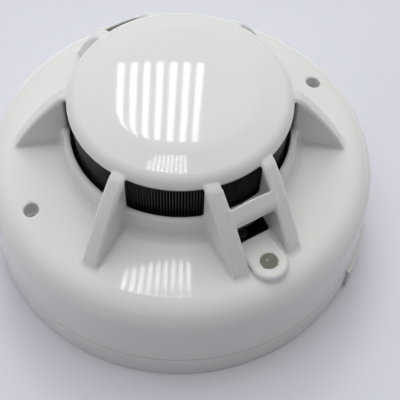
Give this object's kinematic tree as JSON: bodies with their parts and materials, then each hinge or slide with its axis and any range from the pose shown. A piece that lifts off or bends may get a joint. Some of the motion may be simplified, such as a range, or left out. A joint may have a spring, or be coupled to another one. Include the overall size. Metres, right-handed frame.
{
  "type": "point smoke and heat detector",
  "caption": "Round ceiling point detector: domed white head with ribbed smoke inlets, guarded heat sensor and indicator, on a twist-lock mounting base.",
  "frame": {"origin": "centre of the mounting base's flat back face, where it meets the ceiling", "axes": "+Z out of the ceiling face through the dome, +X along the line of the two fixing slots; the two indicators are on the line 60 degrees from +X towards -Y"},
  "size_m": [0.1, 0.1, 0.0516],
  "materials": {
    "cover_white": "white moulded fire-retardant plastic, glossy",
    "base_white": "white moulded plastic, satin gloss",
    "plate_white": "white moulded plastic, fine grain",
    "contact_brass": "rolled brass strip",
    "screw_steel": "zinc plated steel",
    "screw_brass": "browned brass-plated screw",
    "seal_rubber": "soft black foam rubber",
    "label_paper": "blank paper label",
    "board_green": "glass-epoxy board with green solder mask",
    "chip_black": "black moulding compound",
    "tinned_metal": "tin plated metal",
    "capacitor_can": "bare aluminium can",
    "capacitor_ceramic": "unglazed tan ceramic",
    "suppressor_blue": "blue epoxy-dipped ceramic disc",
    "chamber_black": "matt black light-absorbing plastic",
    "screen_black": "black moulded plastic, finely ribbed",
    "emitter_blue": "tinted clear epoxy",
    "photodiode_dark": "dark daylight-blocking epoxy",
    "led_red": "red diffused epoxy",
    "lens_clear": "translucent light pipe",
    "bead_black": "epoxy coated thermistor bead",
    "sleeve_grey": "grey heat-shrink sleeve"
  },
  "bodies": {
    "base": {"mounting_base": "base_white", "base_terminal_plates": "contact_brass", "base_clamp_washers": "screw_steel", "base_terminal_screws": "screw_steel"},
    "head": {"outer_cover": "cover_white", "head_plate": "plate_white", "dust_seal_ring": "seal_rubber", "contact_blades": "contact_brass", "contact_rivets": "contact_brass", "rating_label": "label_paper", "circuit_board": "board_green", "board_screws": "screw_steel", "microcontroller": "chip_black", "microcontroller_legs": "tinned_metal", "electrolytic_capacitors": "capacitor_can", "capacitor_feet": "chip_black", "chip_resistors": "chip_black", "ceramic_capacitors": "capacitor_ceramic", "rectifier_diodes": "chip_black", "surge_suppressor": "suppressor_blue", "chamber_gasket": "seal_rubber", "chamber_base": "chamber_black", "chamber_lid": "chamber_black", "insect_screen": "screen_black", "optic_holders": "chamber_black", "infrared_emitter": "emitter_blue", "photodiode": "photodiode_dark", "photodiode_shield": "tinned_metal", "indicator_led": "led_red", "indicator_lens": "lens_clear", "thermistor_bead": "bead_black", "thermistor_leads": "tinned_metal", "thermistor_sleeve": "sleeve_grey", "cover_screws": "screw_brass"}
  },
  "joints": [
    {"name": "head_twist", "type": "hinge", "parent": "base", "child": "head", "pos_m": [0, 0, 0.00825], "axis": [0, 0, 1], "range_deg": [0, 20]}
  ]
}
